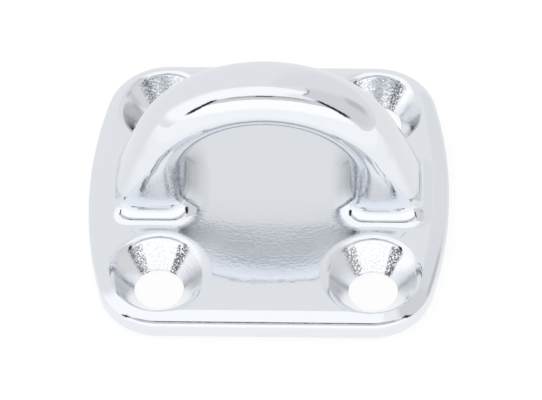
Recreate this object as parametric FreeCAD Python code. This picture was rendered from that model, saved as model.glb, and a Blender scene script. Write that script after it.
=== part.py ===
import FreeCAD, Part
import math
import os

# Square pad eye: a deck fitting forged in one piece from stainless steel. A plate with bowed
# sides and four countersunk screw holes carries a bow whose two legs run into it with fillets.
# Millimetres. Origin at the centre of the underside, +X along the bow, +Y to the back, +Z up.

# Plate
plate_width = 48.5             # X, between the middles of the two bowed sides
plate_depth = 44.9             # Y, between the two straight edges
plate_thickness = 4.05
side_radius = 64.0             # the two sides swell outwards on this radius
corner_radius = 8.4
edge_slope_width = 2.0         # the top slopes down towards the wall over this width
edge_slope_angle = 30.0
edge_shoulder_radius = 1.3     # round between the slope and the wall
edge_shoulder_blend = 0.6      # soft round between the flat top and the slope
underside_break = 0.7          # the lower edge is broken at 45 degrees

# Screw holes, on a square
hole_spacing = 28.575
hole_diameter = 6.6
bore_length = 0.51             # what the countersink leaves of the straight bore
sink_angle = 82.0              # full angle of the countersink
sink_rim_radius = 1.9          # the countersink rolls over into the top
hole_exit_break = 0.25

# Bow: a bar bent to a half ring, whose outside runs down into two stouter legs
eye_width = 22.2               # clear span between the legs
eye_height = 16.5              # clear height over the plate
bar_across = 9.2               # Y size of the bar
ring_thickness = 7.6           # radial size of the bar round the ring
bar_flat = 0.2                 # its four long edges are rounded until this much flat is left
leg_gain = 1.6                 # a leg is this much thicker than the ring
hip_height = 3.45              # the outside of a leg is upright up to this height over the plate
hip_radius = 6.0               # and is rounded there into the tangent of the ring
foot_spread = 1.7              # the inside of a leg curves this far into the eye at the plate
foot_spread_share = 0.72       # over this share of its upright height
foot_fillet = 1.8

tolerance = 1e-4               # for finding edges by their place


def vector(x, y, z):
    return FreeCAD.Vector(x, y, z)


def line(p, q):
    return Part.LineSegment(p, q).toShape()


def arc(centre, radius, start, turn):
    """Arc in the XZ plane. Angles are in radians from +X towards +Z."""
    def at(angle):
        return centre + vector(radius * math.cos(angle), 0, radius * math.sin(angle))
    return Part.Arc(at(start), at(start + turn / 2), at(start + turn)).toShape()


def rim_section(inner, outer):
    """Section of the plate in the XZ plane, from x = inner to the wall at x = outer."""
    slope = math.radians(edge_slope_angle)
    tangent = math.pi / 2 - slope
    drop = edge_slope_width * math.tan(slope)
    shoulder_z = plate_thickness - drop - edge_shoulder_radius * math.tan(tangent / 2)
    blend_x = outer - edge_slope_width - edge_shoulder_blend * math.tan(slope / 2)
    arcs = [arc(vector(outer - edge_shoulder_radius, 0, shoulder_z), edge_shoulder_radius, 0, tangent),
            arc(vector(blend_x, 0, plate_thickness - edge_shoulder_blend), edge_shoulder_blend,
                tangent, slope)]
    shoulder_ends, blend_ends = [[edge.valueAt(edge.FirstParameter), edge.valueAt(edge.LastParameter)]
                                 for edge in arcs]
    points = [blend_ends[1], vector(inner, 0, plate_thickness), vector(inner, 0, 0),
              vector(outer - underside_break, 0, 0), vector(outer, 0, underside_break),
              shoulder_ends[0]]
    lines = [line(p, q) for p, q in zip(points, points[1:])]
    lines.append(line(shoulder_ends[1], blend_ends[0]))
    return Part.Face(Part.Wire(Part.__sortEdges__(arcs + lines)))


def plate():
    """The plate with its sloped top edge and rounded rim, without holes.

    The rim is turned about the centres of the corners and of the two bowed sides, and drawn
    straight along the front and the back. A flat core fills the middle.
    """
    half_depth = plate_depth / 2
    side_x = plate_width / 2 - side_radius
    corner_y = half_depth - corner_radius
    # The corner circle touches the side circle from the inside and the straight edge
    reach = side_radius - corner_radius
    corner_x = side_x + math.sqrt(reach ** 2 - corner_y ** 2)
    side_turn = math.degrees(math.atan2(corner_y, corner_x - side_x))
    up = vector(0, 0, 1)
    origin = vector(0, 0, 0)

    corner = rim_section(0, corner_radius)
    corner.rotate(origin, up, side_turn)
    corner = corner.revolve(origin, up, 90 - side_turn)
    corner.translate(vector(corner_x, corner_y, 0))
    side = rim_section(reach, side_radius)
    side.rotate(origin, up, -side_turn)
    side = side.revolve(origin, up, 2 * side_turn)
    side.translate(vector(side_x, 0, 0))
    back = rim_section(0, corner_radius)
    back.rotate(origin, up, 90)
    back.translate(vector(-corner_x, corner_y, 0))
    back = back.extrude(vector(2 * corner_x, 0, 0))

    corners = [vector(sx * corner_x, sy * corner_y, 0) for sx, sy in ((1, 1), (-1, 1), (-1, -1), (1, -1))]
    middle = side_x + reach
    outline = [line(corners[0], corners[1]), line(corners[2], corners[3]),
               Part.Arc(corners[1], vector(-middle, 0, 0), corners[2]).toShape(),
               Part.Arc(corners[3], vector(middle, 0, 0), corners[0]).toShape()]
    core = Part.Face(Part.Wire(Part.__sortEdges__(outline))).extrude(vector(0, 0, plate_thickness))

    across_x, across_y = vector(1, 0, 0), vector(0, 1, 0)
    right = [side, corner, corner.mirror(origin, across_y)]
    pieces = right + [piece.mirror(origin, across_x) for piece in right]
    return core.fuse(pieces + [back, back.mirror(origin, across_y)]).removeSplitter()


def bow():
    """The bow: its front view drawn out along Y, with its four long edges rounded nearly to an oval."""
    inner_radius = eye_width / 2
    outer_radius = inner_radius + ring_thickness
    spring = vector(0, 0, plate_thickness + eye_height - inner_radius)
    bottom = plate_thickness / 2
    # The outside: the ring, its tangent through the top of the upright leg, a round and the leg
    leg_reach = outer_radius + leg_gain
    below_spring = spring.z - plate_thickness - hip_height
    flare = (math.acos(outer_radius / math.hypot(leg_reach, below_spring))
             - math.atan2(below_spring, leg_reach))
    tangent_end = spring + vector(math.cos(flare), 0, math.sin(flare)) * outer_radius
    hip_z = plate_thickness + hip_height - hip_radius * math.tan(flare / 2)
    hip = arc(vector(leg_reach - hip_radius, 0, hip_z), hip_radius, 0, flare)
    # The inside: the ring, the upright leg and the curve that spreads into the eye
    spread_height = foot_spread_share * (spring.z - plate_thickness)
    spread_radius = (spread_height ** 2 + foot_spread ** 2) / (2 * foot_spread)
    spread_turn = math.asin(spread_height / spread_radius)
    spread_z = plate_thickness + spread_height
    spread = arc(vector(inner_radius - spread_radius, 0, spread_z), spread_radius, 0, -spread_turn)
    foot_x = inner_radius - foot_spread

    right = [hip, spread,
             line(tangent_end, hip.valueAt(hip.LastParameter)),
             line(vector(leg_reach, 0, hip_z), vector(leg_reach, 0, bottom)),
             line(vector(inner_radius, 0, spring.z), vector(inner_radius, 0, spread_z)),
             line(vector(foot_x, 0, plate_thickness), vector(foot_x, 0, bottom)),
             line(vector(foot_x, 0, bottom), vector(leg_reach, 0, bottom))]
    left = [edge.mirror(vector(0, 0, 0), vector(1, 0, 0)) for edge in right]
    rings = [arc(spring, outer_radius, flare, math.pi - 2 * flare), arc(spring, inner_radius, 0, math.pi)]
    face = Part.Face(Part.Wire(Part.__sortEdges__(right + left + rings)))
    face.translate(vector(0, -bar_across / 2, 0))
    body = face.extrude(vector(0, bar_across, 0))
    long_edges = [edge for edge in body.Edges
                  if edge.BoundBox.YLength < tolerance < edge.BoundBox.ZLength]
    return body.makeFillet((ring_thickness - bar_flat) / 2, long_edges)


def screw_hole(x, y):
    """Cutting tool for one countersunk hole: bore, cone and a mouth that rolls into the top."""
    bore_radius = hole_diameter / 2
    half_angle = math.radians(sink_angle / 2)
    sink_radius = bore_radius + (plate_thickness - bore_length) * math.tan(half_angle)
    # The mouth is an arc from the cone to the flat top, turning through this angle
    mouth_turn = math.pi / 2 - half_angle
    mouth_radius = sink_radius + sink_rim_radius * math.tan(mouth_turn / 2)
    mouth = arc(vector(mouth_radius, 0, plate_thickness - sink_rim_radius), sink_rim_radius,
                math.pi / 2, mouth_turn)
    below = -plate_thickness
    above = 2 * plate_thickness
    corners = [vector(mouth_radius, 0, plate_thickness), vector(mouth_radius, 0, above),
               vector(0, 0, above), vector(0, 0, below), vector(bore_radius, 0, below),
               vector(bore_radius, 0, bore_length), mouth.valueAt(mouth.LastParameter)]
    edges = [line(p, q) for p, q in zip(corners, corners[1:])]
    tool = Part.Face(Part.Wire(edges + [mouth])).revolve(vector(0, 0, 0), vector(0, 0, 1), 360)
    tool.translate(vector(x, y, 0))
    return tool


def edges_at_height(shape, z):
    """Edges that lie wholly at one height."""
    return [edge for edge in shape.Edges
            if abs(edge.BoundBox.ZMin - z) < tolerance and abs(edge.BoundBox.ZMax - z) < tolerance]


def hole_centres():
    half = hole_spacing / 2
    return [(sx * half, sy * half) for sx in (-1, 1) for sy in (-1, 1)]


def circle_edges(shape, radius, z):
    """Round edges of one radius at one height."""
    return [edge for edge in edges_at_height(shape, z)
            if hasattr(edge.Curve, "Radius") and abs(edge.Curve.Radius - radius) < tolerance]


def foot_edges(shape):
    """The two closed lines where the legs meet the top of the plate."""
    reach_y = bar_across / 2 + foot_fillet
    return [edge for edge in edges_at_height(shape, plate_thickness)
            if edge.BoundBox.YMax < reach_y and edge.BoundBox.YMin > -reach_y]


def pad_eye():
    body = plate()
    for x, y in hole_centres():
        body = body.cut(screw_hole(x, y))
    body = body.makeChamfer(hole_exit_break, circle_edges(body, hole_diameter / 2, 0))
    body = body.fuse(bow()).removeSplitter()
    return body.makeFillet(foot_fillet, foot_edges(body))


os.makedirs("parts", exist_ok=True)
shape = pad_eye()
solid = shape.Solids[0]
print("solids", len(shape.Solids), "valid", solid.isValid(), "volume", round(solid.Volume, 1))
box = solid.optimalBoundingBox(False)
print("size", round(box.XLength, 3), round(box.YLength, 3), round(box.ZLength, 3))
solid.exportStep("parts/pad_eye.step")
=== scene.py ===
import bmesh
import bpy
import math
from mathutils import Matrix, Vector


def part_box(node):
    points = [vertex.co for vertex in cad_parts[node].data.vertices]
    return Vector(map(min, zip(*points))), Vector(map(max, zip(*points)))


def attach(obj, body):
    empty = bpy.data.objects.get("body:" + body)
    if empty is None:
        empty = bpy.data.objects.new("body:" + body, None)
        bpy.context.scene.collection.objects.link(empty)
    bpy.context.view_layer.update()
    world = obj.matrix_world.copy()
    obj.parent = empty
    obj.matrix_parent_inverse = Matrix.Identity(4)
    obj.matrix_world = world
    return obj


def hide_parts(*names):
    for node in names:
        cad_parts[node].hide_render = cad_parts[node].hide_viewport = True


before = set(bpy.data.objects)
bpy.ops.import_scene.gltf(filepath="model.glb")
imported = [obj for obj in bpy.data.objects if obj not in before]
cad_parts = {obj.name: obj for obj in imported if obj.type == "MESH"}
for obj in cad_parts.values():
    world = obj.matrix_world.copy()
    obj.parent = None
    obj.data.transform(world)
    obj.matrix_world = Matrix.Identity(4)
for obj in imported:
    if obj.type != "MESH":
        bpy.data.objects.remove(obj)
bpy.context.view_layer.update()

mm = 0.001
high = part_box("pad_eye")[1]    # the far upper corner of the solid's box

# The plate: the flat half of the stainless steel forging. Its left and right sides are bowed, front
# and back are straight, and one run of rounds and slope goes round the whole rim. It is one closed
# circle, drawn to the outline and extruded up the rim row by row.
plate_thickness = 4.05 * mm
side_radius = 64.0 * mm
corner_radius = 8.4 * mm
side_steps = 10                # per half side
corner_steps = 26
front_steps = 5                # per half front
slope_width = 2.0 * mm
slope_angle = math.radians(30)
shoulder_radius = 0.95 * mm
shoulder_ease = 4.5 * mm       # a narrow flat runs along the shoulder, on this easier radius
ease_from = math.radians(52)
ease_to = math.radians(56)
shoulder_blend = 0.6 * mm
underside_round = 1.2 * mm
round_steps = 9
shoulder_steps = 30


def quarter_outline():
    """Points and outward directions from the middle of the right side to the middle of the back."""
    side_centre = Vector((high.x - side_radius, 0, 0))
    corner_y = high.y - corner_radius
    reach = side_radius - corner_radius
    corner_centre = Vector((side_centre.x + math.sqrt(reach ** 2 - corner_y ** 2), corner_y, 0))
    meeting = math.atan2(corner_y, corner_centre.x - side_centre.x)
    points = []
    for i in range(side_steps):
        turn = meeting * i / side_steps
        away = Vector((math.cos(turn), math.sin(turn), 0))
        points.append((side_centre + away * side_radius, away))
    for i in range(corner_steps):
        turn = meeting + (math.pi / 2 - meeting) * i / corner_steps
        away = Vector((math.cos(turn), math.sin(turn), 0))
        points.append((corner_centre + away * corner_radius, away))
    for i in range(front_steps + 1):
        x = corner_centre.x * (1 - i / front_steps)
        points.append((Vector((x, high.y, 0)), Vector((0, 1, 0))))
    return points


def flipped(pairs, sx, sy):
    """The same points and directions with their X and Y times 1 or -1."""
    return [(Vector((p.x * sx, p.y * sy, 0)), Vector((n.x * sx, n.y * sy, 0))) for p, n in pairs]


quarter = quarter_outline()
outline = (quarter[:-1] + flipped(quarter, -1, 1)[:0:-1]
           + flipped(quarter, -1, -1)[:-1] + flipped(quarter, 1, -1)[:0:-1])


def rim_profile():
    """How far in from the outline and how high each row of the rim lies, from the underside up."""
    rows = []
    for i in range(round_steps + 1):
        turn = math.pi / 2 * i / round_steps
        rows.append((underside_round * (1 - math.sin(turn)), underside_round * (1 - math.cos(turn))))
    shoulder = []
    inward, height = 0, 0
    tangent = math.pi / 2 - slope_angle
    for i in range(shoulder_steps + 1):
        shoulder.append((inward, height))
        turn = tangent * (i + 0.5) / shoulder_steps
        radius = shoulder_ease if ease_from < turn < ease_to else shoulder_radius
        step = radius * tangent / shoulder_steps
        inward, height = inward + step * math.sin(turn), height + step * math.cos(turn)
    # Slid down the wall until its upper end lies on the slope
    inward, height = shoulder[-1]
    start = plate_thickness - (slope_width - inward) * math.tan(slope_angle) - height
    rows += [(inward, start + height) for inward, height in shoulder]
    inner = slope_width + shoulder_blend * math.tan(slope_angle / 2)
    for i in range(round_steps + 1):
        turn = slope_angle * (1 - i / round_steps)
        rows.append((inner - shoulder_blend * math.sin(turn),
                     plate_thickness - shoulder_blend * (1 - math.cos(turn))))
    return rows


def skin(name, rings):
    """One filled circle, drawn to the first ring and extruded through the others, closed at both ends."""
    bpy.ops.object.select_all(action="DESELECT")
    bpy.ops.mesh.primitive_circle_add(vertices=len(rings[0]), fill_type="NGON")
    piece = bpy.context.object
    piece.name = name
    bpy.ops.object.mode_set(mode="EDIT")
    # Each vertex carries its place in the ring along, because extruding numbers them anew
    place = bmesh.from_edit_mesh(piece.data).verts.layers.int.new("place")
    for vertex in bmesh.from_edit_mesh(piece.data).verts:
        vertex[place] = vertex.index
    for number, ring in enumerate(rings):
        if number:
            bpy.ops.mesh.extrude_region_move()
        mesh = bmesh.from_edit_mesh(piece.data)
        place = mesh.verts.layers.int["place"]
        for vertex in mesh.verts:
            if vertex.select:
                vertex.co = ring[vertex[place]]
        bmesh.update_edit_mesh(piece.data)
    bpy.ops.mesh.select_all(action="SELECT")
    bpy.ops.mesh.normals_make_consistent(inside=False)
    bpy.ops.object.mode_set(mode="OBJECT")
    return piece


body = skin("pad_eye_forging", [[p - away * inward + Vector((0, 0, height)) for p, away in outline]
                                for inward, height in rim_profile()])

# The screw holes: four bores countersunk for flat-head screws, cut after forging. The mouth of each
# rolls over into the top, and the bore's lower edge is broken. One cutter, turned in rows, is
# copied to each corner and taken away from the plate.
hole_spacing = 28.575 * mm
bore_radius = 3.3 * mm
bore_break = 0.25 * mm
sink_half_angle = math.radians(41)
sink_radius = 6.375 * mm       # where the cone would meet the flat top
mouth_roll = 1.9 * mm
mouth_steps = 8
hole_points = 96
cutter_overrun = 1.5 * mm


def hole_profile():
    """Radius and height of each row of the cutter, from under the plate to above it."""
    cone_depth = (sink_radius - bore_radius) / math.tan(sink_half_angle)
    mouth_turn = math.pi / 2 - sink_half_angle
    mouth_radius = sink_radius + mouth_roll * math.tan(mouth_turn / 2)
    rows = [(bore_radius + bore_break, -cutter_overrun), (bore_radius + bore_break, 0),
            (bore_radius, bore_break), (bore_radius, plate_thickness - cone_depth)]
    for i in range(mouth_steps + 1):
        turn = mouth_turn * (1 - i / mouth_steps)
        rows.append((mouth_radius - mouth_roll * math.sin(turn),
                     plate_thickness - mouth_roll * (1 - math.cos(turn))))
    rows.append((mouth_radius, plate_thickness + cutter_overrun))
    return rows


def hole_ring(radius, height):
    """One row of the cutter, round the Z axis."""
    turns = [2 * math.pi * i / hole_points for i in range(hole_points)]
    return [Vector((radius * math.cos(turn), radius * math.sin(turn), height)) for turn in turns]


def combine(piece, other, operation):
    """Cuts the other piece away from the first or joins it on, and deletes it."""
    bpy.ops.object.select_all(action="DESELECT")
    bpy.context.view_layer.objects.active = piece
    piece.select_set(True)
    bpy.ops.object.modifier_add(type="BOOLEAN")
    change = piece.modifiers[-1]
    change.operation = operation
    change.solver = "EXACT"
    change.object = other
    bpy.ops.object.modifier_apply(modifier=change.name)
    bpy.data.objects.remove(other)


cutter = skin("cutter", [hole_ring(radius, height) for radius, height in hole_profile()])
for sx in (-1, 1):
    for sy in (-1, 1):
        bpy.ops.object.select_all(action="DESELECT")
        bpy.context.view_layer.objects.active = cutter
        cutter.select_set(True)
        bpy.ops.object.duplicate(linked=False)
        bpy.ops.transform.translate(value=(sx * hole_spacing / 2, sy * hole_spacing / 2, 0))
        combine(body, bpy.context.object, "DIFFERENCE")
bpy.data.objects.remove(cutter)

# The bow: forged in one with the plate. A half ring of elliptical section flares into two stouter,
# squarer legs, the inside of each leg spreads towards the plate, and a fillet runs round each
# foot. Rings of points follow it from the left foot over the crown to the right one.
ring_thickness = 7.6 * mm
ring_across = 9.0 * mm
eye_width = 22.2 * mm
leg_thickness = 9.2 * mm
leg_across = 9.3 * mm
flare = math.radians(18)
ring_squareness = 2.0
leg_outer_squareness = 3.8
leg_inner_squareness = 3.4
foot_squareness_gain = 2.0     # a foot is squarer still where it meets the plate
foot_spread = 2.9 * mm
foot_spread_height = 3.2 * mm
foot_fillet = 2.25 * mm
foot_fillet_outside = 1.8 * mm
foot_fillet_inside = 2.2 * mm
corner_fillet_gain = 0.9 * mm
bar_points = 128
fillet_steps = 10
leg_steps = 10
flare_steps = 6
ring_steps = 48
stub_depth = 1.0 * mm          # the bow reaches this far into the plate before the two are joined
bar_turns = [2 * math.pi * i / bar_points for i in range(bar_points)]

inner_radius = eye_width / 2
outer_radius = inner_radius + ring_thickness
middle_radius = (inner_radius + outer_radius) / 2
leg_reach = inner_radius + leg_thickness
spring_height = high.z - outer_radius
reach_at_spring = outer_radius / math.cos(flare)
leg_top = spring_height - (leg_reach - reach_at_spring) / math.tan(flare)
morph_length = outer_radius * flare + spring_height - leg_top


def bar_point(turn, lean, height):
    """Distance from the bow's axis and across it, of one point of the section at a place on a leg."""
    outside = outer_radius
    if lean < flare:
        outside = outer_radius / math.cos(flare - lean)
    if height < spring_height:
        outside = min(leg_reach, reach_at_spring + (spring_height - height) * math.tan(flare))
    passed = outer_radius * max(0, flare - lean) + spring_height - height
    share = min(1, passed / morph_length)
    over_plate = (height - plate_thickness) / foot_spread_height
    inside = inner_radius - foot_spread * max(0, 1 - over_plate) ** 2
    gain = foot_squareness_gain * min(1, max(0, 1 - over_plate)) ** 2
    across = ring_across + (leg_across - ring_across) * share
    c, s = math.cos(turn), math.sin(turn)
    if c > 0:
        reach = outside - middle_radius
        squareness = ring_squareness + (leg_outer_squareness - ring_squareness) * share + gain
    else:
        reach = middle_radius - inside
        squareness = ring_squareness + (leg_inner_squareness - ring_squareness) * share + gain
    along = reach * math.copysign(abs(c) ** (2 / squareness), c)
    return Vector((middle_radius + along, across / 2 * math.copysign(abs(s) ** (2 / squareness), s)))


def wall(turn, height):
    """The point of a leg's wall at a height, its outward direction and its lean from upright."""
    step = 1e-3
    point = bar_point(turn, 0, height)
    tangent = bar_point(turn + step, 0, height) - bar_point(turn - step, 0, height)
    away = Vector((tangent.y, -tangent.x)).normalized()
    rise = 0.01 * mm
    spread = (bar_point(turn, 0, height - rise) - point).dot(away) / rise
    return point, away, math.atan(spread)


def fillet_radius(turn):
    """The fillet is widest round the corners of a foot, and small where the plate slopes away."""
    share = math.cos(turn)
    sidewards = foot_fillet_outside if share > 0 else foot_fillet_inside
    return (foot_fillet + (sidewards - foot_fillet) * share ** 4
            + corner_fillet_gain * math.sin(2 * turn) ** 2)


def foot_start(turn):
    """Height at which the fillet leaves the wall, so that it is tangent to wall and plate."""
    settling_rounds = 12
    height = plate_thickness + fillet_radius(turn)
    for i in range(settling_rounds):
        height = plate_thickness + fillet_radius(turn) * (1 - math.sin(wall(turn, height)[2]))
    return height


def foot_point(turn, share):
    """A point of the fillet: share 0 is on the plate, 1 on the wall."""
    height = foot_start(turn)
    point, away, lean = wall(turn, height)
    angle = math.pi / 2 + (lean - math.pi / 2) * share
    flat = point + away * fillet_radius(turn) * (math.cos(lean) - math.cos(angle))
    return Vector((-flat.x, flat.y, plate_thickness + fillet_radius(turn) * (1 - math.sin(angle))))


def leaning_ring(lean):
    """A ring of the bow, lean radians above the horizontal from the left."""
    flats = [bar_point(turn, min(lean, math.pi - lean), spring_height) for turn in bar_turns]
    return [Vector((-flat.x * math.cos(lean), flat.y, spring_height + flat.x * math.sin(lean)))
            for flat in flats]


def left_rings():
    """The left foot's fillet, its leg and the flare, up to where the even ring begins."""
    rings = [[foot_point(turn, 0) - Vector((0, 0, stub_depth)) for turn in bar_turns]]
    rings += [[foot_point(turn, i / fillet_steps) for turn in bar_turns] for i in range(fillet_steps + 1)]
    starts = [foot_start(turn) for turn in bar_turns]
    for i in range(1, leg_steps):
        heights = [start + (spring_height - start) * i / leg_steps for start in starts]
        flats = [bar_point(turn, 0, height) for turn, height in zip(bar_turns, heights)]
        rings.append([Vector((-flat.x, flat.y, height)) for flat, height in zip(flats, heights)])
    for i in range(flare_steps):
        rings.append(leaning_ring(flare * i / flare_steps))
    return rings


def bow_rings():
    """All rings of the bow. The right leg is the left one in a mirror."""
    left = left_rings()
    ring = [leaning_ring(flare + (math.pi - 2 * flare) * i / ring_steps) for i in range(ring_steps + 1)]
    right = [[Vector((-p.x, p.y, p.z)) for p in points] for points in reversed(left)]
    return left + ring + right


combine(body, skin("bow", bow_rings()), "UNION")

# The finish of the forging: the whole is smooth, and flat faces keep their true direction next to
# the rounds. It stands for the solid pad eye and rides on it.
crease = math.radians(28)
flat_face_weight = 100
bpy.ops.object.select_all(action="DESELECT")
bpy.context.view_layer.objects.active = body
body.select_set(True)
bpy.ops.object.shade_smooth_by_angle(angle=crease)
bpy.ops.object.modifier_add(type="WEIGHTED_NORMAL")
weighting = body.modifiers[-1]
weighting.mode = "FACE_AREA"
weighting.weight = flat_face_weight
weighting.keep_sharp = True
bpy.ops.object.modifier_apply(modifier=weighting.name)
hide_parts("pad_eye")
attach(body, "root")


# The steel of the forging. Its outside is polished bright and a little wavy, and the plate's top has
# a faint crown from front to back. Where a wheel doesn't reach, inside the bow and on the plate by
# it, the steel keeps the grain of the dies, and the countersinks are left as they were cut. Light is
# also painted into its colour: painted reflections grey the plate under the bow and darken side
# sectors of the countersinks, painted shade darkens the plate by each foot's inner side, and the
# front of the plate's pressed part is lightened.
steel_colour = (0.795, 0.82, 0.858, 1)
forged_and_reflection_colour = (0.67, 0.69, 0.73, 1)
cut_and_painted_lift_colour = (0.85, 0.87, 0.90, 1)
pit_and_shade_colour = (0.19, 0.20, 0.215, 1)
polished_roughness = 0.03
forged_roughness = 0.1
cut_roughness = 0.04
sink_side_roughness = 0.13     # the sides and the front of a countersink are a little duller
pressed_roughness = 0.24
crown_slope = math.tan(math.radians(4.3))
crown_start = (4.0, 3.0)       # from this far off the middle line, in mm, and over this width
crown_end = (18.5, 3.5)
degrees = 180 / math.pi


class Shade:
    """A socket that is added, subtracted and multiplied like a number, and makes the nodes for it."""

    def __init__(self, tree, socket=None):
        self.tree = tree
        self.socket = socket

    def node(self, kind, settings, values, output=0):
        """Adds a node, makes its settings, fills the sockets that values names, and gives an output."""
        made = self.tree.nodes.new(kind)
        for key, value in settings.items():
            setattr(made, key, value)
        for key, value in values.items():
            if isinstance(value, Shade):
                self.tree.links.new(value.socket, made.inputs[key])
            else:
                made.inputs[key].default_value = value
        return Shade(self.tree, made.outputs[output]) if made.outputs else made

    def maths(self, operation, *others):
        """A Math node on this value and any others, in that order."""
        return self.node("ShaderNodeMath", {"operation": operation}, dict(enumerate((self,) + others)))

    def __add__(self, other):
        return self.maths("ADD", other)

    def __sub__(self, other):
        return self.maths("SUBTRACT", other)

    def __rsub__(self, other):
        return self.node("ShaderNodeMath", {"operation": "SUBTRACT"}, {0: other, 1: self})

    def __mul__(self, other):
        return self.maths("MULTIPLY", other)

    __radd__ = __add__
    __rmul__ = __mul__

    def __abs__(self):
        return self.maths("ABSOLUTE")

    def step(self, start, end, low_value=0.0, high_value=1.0):
        """Goes softly from the low to the high value while this one goes from start to end."""
        return self.node("ShaderNodeMapRange", {"interpolation_type": "SMOOTHSTEP"},
                         {0: self, 1: start, 2: end, 3: low_value, 4: high_value})

    def fall(self, start, end):
        """Goes softly from 1 to 0 while this one goes from start to end."""
        return self.step(start, end, 1.0, 0.0)


def length(a, b):
    return (a * a + b * b).maths("SQRT")


steel = bpy.data.materials.new("polished_steel")
steel.use_nodes = True
tree = steel.node_tree
shader = tree.nodes["Principled BSDF"]
shader.inputs["Base Color"].default_value = steel_colour
shader.inputs["Metallic"].default_value = 1.0
start = Shade(tree)
place = start.node("ShaderNodeTexCoord", {}, {}, output="Object")
place = start.node("ShaderNodeVectorMath", {"operation": "SCALE"}, {0: place, "Scale": 1 / mm})
x, y, z = (start.node("ShaderNodeSeparateXYZ", {}, {0: place}, output=i) for i in range(3))


def grain(size, detail=2.0, stretch=1.0):
    """Noise around 0 with lumps of about a size in millimetres, drawn out along X by stretch."""
    drawn = start.node("ShaderNodeVectorMath", {"operation": "MULTIPLY"},
                       {0: place, 1: (1 / size / stretch, 1 / size, 1 / size)})
    return start.node("ShaderNodeTexNoise", {}, {"Vector": drawn, "Scale": 1.0, "Detail": detail,
                                                 "Roughness": 0.5}) - 0.5


def ramp(distance, first, width):
    """Grows by 1 for 1 with the distance, from the first one on, and starts softly over a width."""
    share = distance.node("ShaderNodeMapRange", {}, {0: distance, 1: first, 2: first + width})
    cube = share * share * share
    return (cube - cube * share * 0.5) * width + (distance - (first + width)).maths("MAXIMUM", 0.0)


def towards(colour, other, share):
    """The colour, mixed towards another one by a share."""
    return start.node("ShaderNodeMix", {"data_type": "RGBA"}, {0: share, 6: colour, 7: other}, output=2)


# Where each finish, painted reflection and painted shade lies. A pair is where a soft change starts
# and ends, in mm or in degrees. A shift has its value at the legs and its value at the ring.
sink_reach = (5.7, 6.0)            # the countersink, out from the middle of its hole
back_wall_reach = (38, 46)         # its back wall, in degrees to both sides of straight back
reflection_sector_reach = (23, 28)           # degrees: from here outwards a dark painted reflection lies, as speckle
left_to_right = (-1, 1)
left_reflection_share = 0.65                # left of a hole, as a share of what is on its right
front_to_rear = (0, 8)
rear_reflection_share = 0.5                 # at the rear holes, as a share of what the front ones have
rear_wall_reflection_share = 0.25           # the painted reflection that the rear holes have all over the back wall
legs_to_ring = (7, 17)
forged_reach = (11.8, 14.6)        # the unpolished inside of the bow, out from the bow's axis
forged_shift = (4.7, -1.4)
forged_height = (6.2, 8.8)
inside_reach = (12.8, 13.8)        # the part of it that is pitted
inside_shift = (0.0, -0.9)
inside_height = (6.2, 8.2)
plate_height = (4.15, 4.6)         # the middle of the plate, up to just over its top
middle_width = (9, 13)
under_depth = (9, 14)              # its part under the bow, greyed a little as a painted reflection of the bow's dark inside
under_reflection_grey = 0.2
pressed_front = (-15.5, -10.5)     # its part in front of the bow, as the die pressed it
pressed_back = (-4, 3)
# Its front is lightened in colour towards the cut steel: a painted lift of the bow's dark reflection
# there
pressed_lift_reach = (-9, -5)
pressed_painted_lift = 0.8
leg_side = (8.0, 10.5)             # the inner side of each leg's foot, out from the middle: duller, with painted shade
leg_side_end = (12.2, 12.8)
leg_front = (-3.5, 0.0)
leg_back = (4, 9)
leg_height = (8, 10)
speckle_size = 0.25
pit_noise = (0.0, 0.1)             # the values of the noise over which a pit darkens
# The noise values over which the painted reflection in the countersinks darkens
reflection_speckle_noise = (-0.09, 0.02)
inside_pits = 0.62
back_wall_pits = 0.2
# How dark the painted shade by each foot's inner side is
leg_side_painted_shade = 0.38

half_spacing = hole_spacing / mm / 2
from_hole = length(abs(x) - half_spacing, abs(y) - half_spacing)
hole_x = x - x.maths("SIGN") * half_spacing
hole_y = y - y.maths("SIGN") * half_spacing
swing = abs(hole_x.maths("ARCTAN2", hole_y)) * degrees
over_spring = (z - spring_height / mm).maths("MAXIMUM", 0.0)
from_axis = length(x, over_spring)

cut = from_hole.fall(*sink_reach)
back_wall = swing.fall(*back_wall_reach)
# Painted reflection, drawn as speckle: dark side sectors of each countersink's back wall, more in the
# rear holes
sink_painted_reflection = cut * back_wall * (
    swing.step(*reflection_sector_reach) * hole_x.step(*left_to_right, left_reflection_share, 1.0)
    * y.step(*front_to_rear, 1.0, rear_reflection_share) + y.step(*front_to_rear) * rear_wall_reflection_share)
forged = (from_axis - z.step(*legs_to_ring, *forged_shift)).fall(*forged_reach) * z.step(*forged_height)
inside = (from_axis - z.step(*legs_to_ring, *inside_shift)).fall(*inside_reach) * z.step(*inside_height)
on_middle = z.fall(*plate_height) * abs(x).fall(*middle_width)
under = on_middle * abs(y).fall(*under_depth)
pressed = on_middle * y.step(*pressed_front) * y.fall(*pressed_back)
# Painted shade: the steel by each foot's inner side is darkened evenly, and is also duller
leg_sides_dull_and_shaded = (abs(x).step(*leg_side) * abs(x).fall(*leg_side_end) * y.step(*leg_front)
             * y.fall(*leg_back) * z.fall(*leg_height))

rough = (polished_roughness + forged * (forged_roughness - polished_roughness)
         + cut * (cut_roughness - polished_roughness
                  + (1.0 - back_wall) * (sink_side_roughness - cut_roughness))
         + (pressed + leg_sides_dull_and_shaded) * (pressed_roughness - polished_roughness))
tree.links.new(rough.socket, shader.inputs["Roughness"])

speckle = grain(speckle_size)
# Pits of the grain, with the painted reflections in the countersinks and the painted shade by the feet
pits_and_painted_shade = (speckle.step(*pit_noise) * (inside * inside_pits + cut * back_wall * back_wall_pits)
        + speckle.step(*reflection_speckle_noise) * sink_painted_reflection + leg_sides_dull_and_shaded * leg_side_painted_shade)
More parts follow.
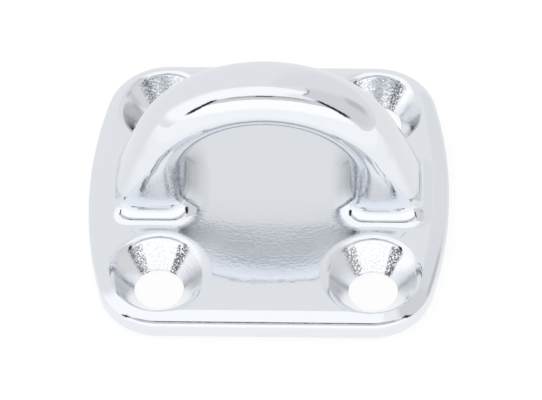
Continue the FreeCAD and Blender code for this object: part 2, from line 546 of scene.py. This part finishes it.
# The forged inside of the bow, and a painted reflection greying the plate under it
colour = towards(steel_colour, forged_and_reflection_colour, forged + under * under_reflection_grey)
# Cut steel in the countersinks, and a painted lift of the bow's dark reflection on the front of the
# pressed part
colour = towards(colour, cut_and_painted_lift_colour, cut + pressed * y.step(*pressed_lift_reach, pressed_painted_lift, 0.0))
colour = towards(colour, pit_and_shade_colour, pits_and_painted_shade)
tree.links.new(colour.socket, shader.inputs["Base Color"])

# The height of the surface in mm: the crown, the waves of the polish, and the grain of each finish
wave_size = 4.0
wave_height = 0.02
grain_size = 0.3
grain_detail = 3.0
polished_grain = 0.003
forged_grain = 0.035
cut_grain = 0.012
back_wall_grain = 0.026
streak_size = 0.4
streak_stretch = 1.2
streak_height = 0.03
crown = (ramp(abs(y), *crown_end) - ramp(abs(y), *crown_start)) * crown_slope
waves = grain(wave_size) * wave_height
fine = grain(grain_size, grain_detail) * (
    polished_grain + forged * forged_grain + cut * (cut_grain + back_wall * back_wall_grain))
streaks = grain(streak_size, grain_detail, streak_stretch) * pressed * streak_height
bump = start.node("ShaderNodeBump", {}, {"Distance": mm, "Height": crown + waves + fine + streaks})
tree.links.new(bump.socket, shader.inputs["Normal"])
body.data.materials.clear()
body.data.materials.append(steel)

# The floor: a plain white sheet under the fitting. The camera sees it white, and it keeps a faint
# shadow. As the steel mirrors it, it is white well in front and glows less near and under the
# fitting, as a painted shadow.
floor_size = 4.0
floor_drop = 0.02 * mm
paper_colour = (0.2, 0.2, 0.2, 1)
floor_glow = 0.83                  # as the camera sees it
floor_glow_front = 0.91            # as the steel mirrors it, well in front of the fitting
floor_glow_near_painted_shadow = 0.86             # under its front edge, darker as painted shadow
floor_glow_back_painted_shadow = 0.73             # and from its middle back, darker still as painted shadow
front_change = (-45 * mm, -30 * mm)
near_change = (-22 * mm, 0)
white = (1, 1, 1, 1)
bpy.ops.object.select_all(action="DESELECT")
bpy.ops.mesh.primitive_plane_add(size=floor_size, location=(0, 0, -floor_drop))
floor = bpy.context.object
floor.name = "floor"
sheet = bpy.data.materials.new("floor_white")
sheet.use_nodes = True
tree = sheet.node_tree
tree.nodes.clear()
start = Shade(tree)
place = start.node("ShaderNodeTexCoord", {}, {}, output="Object")
depth = start.node("ShaderNodeSeparateXYZ", {}, {0: place}, output="Y")
seen = start.node("ShaderNodeLightPath", {}, {}, output="Is Camera Ray")
mirrored = (start.node("ShaderNodeLightPath", {}, {}, output="Is Glossy Ray")
            + start.node("ShaderNodeLightPath", {}, {}, output="Is Transmission Ray"))
# Painted shadow: the mirrored floor glows less near the fitting's front and from its middle back
mirrored_glow_with_painted_shadow = (depth.step(*front_change, floor_glow_front - floor_glow_near_painted_shadow, 0.0)
                 + depth.step(*near_change, floor_glow_near_painted_shadow, floor_glow_back_painted_shadow))
paper = start.node("ShaderNodeBsdfDiffuse", {}, {"Color": paper_colour})
glow = start.node("ShaderNodeEmission", {}, {"Color": white,
                                             "Strength": seen * floor_glow + mirrored * mirrored_glow_with_painted_shadow})
surface = start.node("ShaderNodeAddShader", {}, {0: paper, 1: glow})
start.node("ShaderNodeOutputMaterial", {}, {"Surface": surface})
floor.data.materials.append(sheet)

# The light: a white studio all round, level and soft. Its panels are written as boxes in degrees,
# round from the front and up from the level, because the polished steel mirrors them.
world = bpy.data.worlds.new("studio")
bpy.context.scene.world = world
world.use_nodes = True
tree = world.node_tree
tree.nodes.clear()
start = Shade(tree)
mirrored_share = steel_colour[1]
place = start.node("ShaderNodeTexCoord", {}, {}, output="Generated")
x, y, z = (start.node("ShaderNodeSeparateXYZ", {}, {0: place}, output=i) for i in range(3))
around = x.maths("ARCTAN2", y * -1.0) * degrees
rise = z.maths("ARCSINE") * degrees
# Height over distance to the front, for the long edges of the panels in front
least_distance = 0.05
steepness = z.maths("DIVIDE", (y * -1.0).maths("MAXIMUM", least_distance))


def strength(tone):
    """Strength of a panel that the steel mirrors at an sRGB tone from 0 to 255."""
    share = tone / 255
    return ((share + 0.055) / 1.055) ** 2.4 / mirrored_share


def panel(under, tone, *ranges):
    """Lays a panel of one tone over what is there, inside ranges of (angle, from, to, softness)."""
    mask = 1.0
    for angle, first, last, *soft in ranges:
        mask = mask * angle.step(first - soft[0], first + soft[0])
        mask = mask * angle.fall(last - soft[-1], last + soft[-1])
    return under + mask * (strength(tone) - under)


# The tone all round, under the panels
studio = strength(225)
# The wall on the right, and the brighter one on the left
studio = panel(studio, 219, (around, 110, 165, 12), (rise, -5, 80, 6))
studio = panel(studio, 208, (around, 60, 112, 3, 12), (rise, 2, 60, 10, 2))
studio = panel(studio, 188, (around, 98, 114, 4), (rise, 10, 28, 4))
studio = panel(studio, 249, (around, -97, -56, 8, 4), (rise, 7, 95, 4))
# The ceiling, and the front above its beam
studio = panel(studio, 249, (around, -90, 86, 4), (rise, 61, 95, 2))
studio = panel(studio, 236, (around, 30, 57, 5), (steepness, 1.8, 100, 0.1), (rise, 0, 66, 3))
studio = panel(studio, 249, (around, -60, 30, 4, 6), (steepness, 1.86, 100, 0.06), (rise, 0, 95, 1))
# The grey beam across the front, with a darker strip along its upper half that is darkest in the middle
studio = panel(studio, 205, (around, -58, 60, 1), (steepness, 1.06, 1.86, 0.06))
studio = panel(studio, 170, (around, -45, 45, 4), (steepness, 1.50, 1.76, 0.05))
studio = panel(studio, 95, (around, -14, 8, 4), (steepness, 1.50, 1.76, 0.05))
# The bright front below the beam
studio = panel(studio, 243, (around, -60, 57, 1), (rise, -10, 30, 1), (steepness, -1, 1.08, 0.06))
studio = panel(studio, 254, (around, -60, 57, 1), (rise, 10, 90, 5), (steepness, -1, 1.08, 0.06))
# A dark post at both sides of the front, with a paler foot
studio = panel(studio, 60, (around, -61, -55, 1.5), (rise, 17, 27, 3))
studio = panel(studio, 60, (around, 57, 64, 1.5, 4), (rise, 17, 27, 3))
studio = panel(studio, 45, (around, -62, -54, 1.5), (rise, 20, 44, 3))
studio = panel(studio, 45, (around, 56.5, 64, 1.5), (rise, 20, 46, 3))
# A narrow grey edge under the ceiling on the right
studio = panel(studio, 150, (around, 63, 105, 2, 10), (rise, 59.2, 60.4, 0.6))
light = start.node("ShaderNodeBackground", {}, {"Color": white, "Strength": studio})
backdrop = start.node("ShaderNodeBackground", {}, {"Color": white, "Strength": 1.0})
direct = start.node("ShaderNodeLightPath", {}, {}, output="Is Camera Ray")
mixed = start.node("ShaderNodeMixShader", {}, {0: direct, 1: light, 2: backdrop})
start.node("ShaderNodeOutputWorld", {}, {"Surface": mixed})

# The camera: the photograph's long lens, from in front and above. Its turns and its scale follow
# from the bores, which are a true square on the fitting and lie askew in the photograph.
picture_width = 542
picture_height = 400
azimuth = math.radians(3.34)
elevation = math.radians(51.33)
roll = math.radians(-2.06)
distance = 816.6 * mm
pixels_per_mm = 7.44
aim = Vector((0, 0, 4.0 * mm))
aim_pixel = (268.67, 189.78)   # where the aim lies in the picture
sensor_width = 36.0
clip_near = 0.01
clip_far = 20.0

back = Vector((math.sin(azimuth) * math.cos(elevation), -math.cos(azimuth) * math.cos(elevation),
               math.sin(elevation)))
right = (-back).cross(Vector((0, 0, 1))).normalized()
up = right.cross(-back)
right, up = (right * math.cos(roll) + up * math.sin(roll), up * math.cos(roll) - right * math.sin(roll))
lens = bpy.data.cameras.new("camera")
camera = bpy.data.objects.new("camera", lens)
bpy.context.scene.collection.objects.link(camera)
camera.matrix_world = (Matrix.Translation(aim + back * distance)
                       @ Matrix((right, up, back)).transposed().to_4x4())
lens.sensor_width = sensor_width
lens.lens = sensor_width * distance * pixels_per_mm / mm / picture_width
lens.shift_x = (picture_width / 2 - aim_pixel[0]) / picture_width
lens.shift_y = (aim_pixel[1] - picture_height / 2) / picture_width
lens.clip_start = clip_near
lens.clip_end = clip_far
bpy.context.scene.camera = camera
bpy.context.scene.view_settings.view_transform = "Standard"
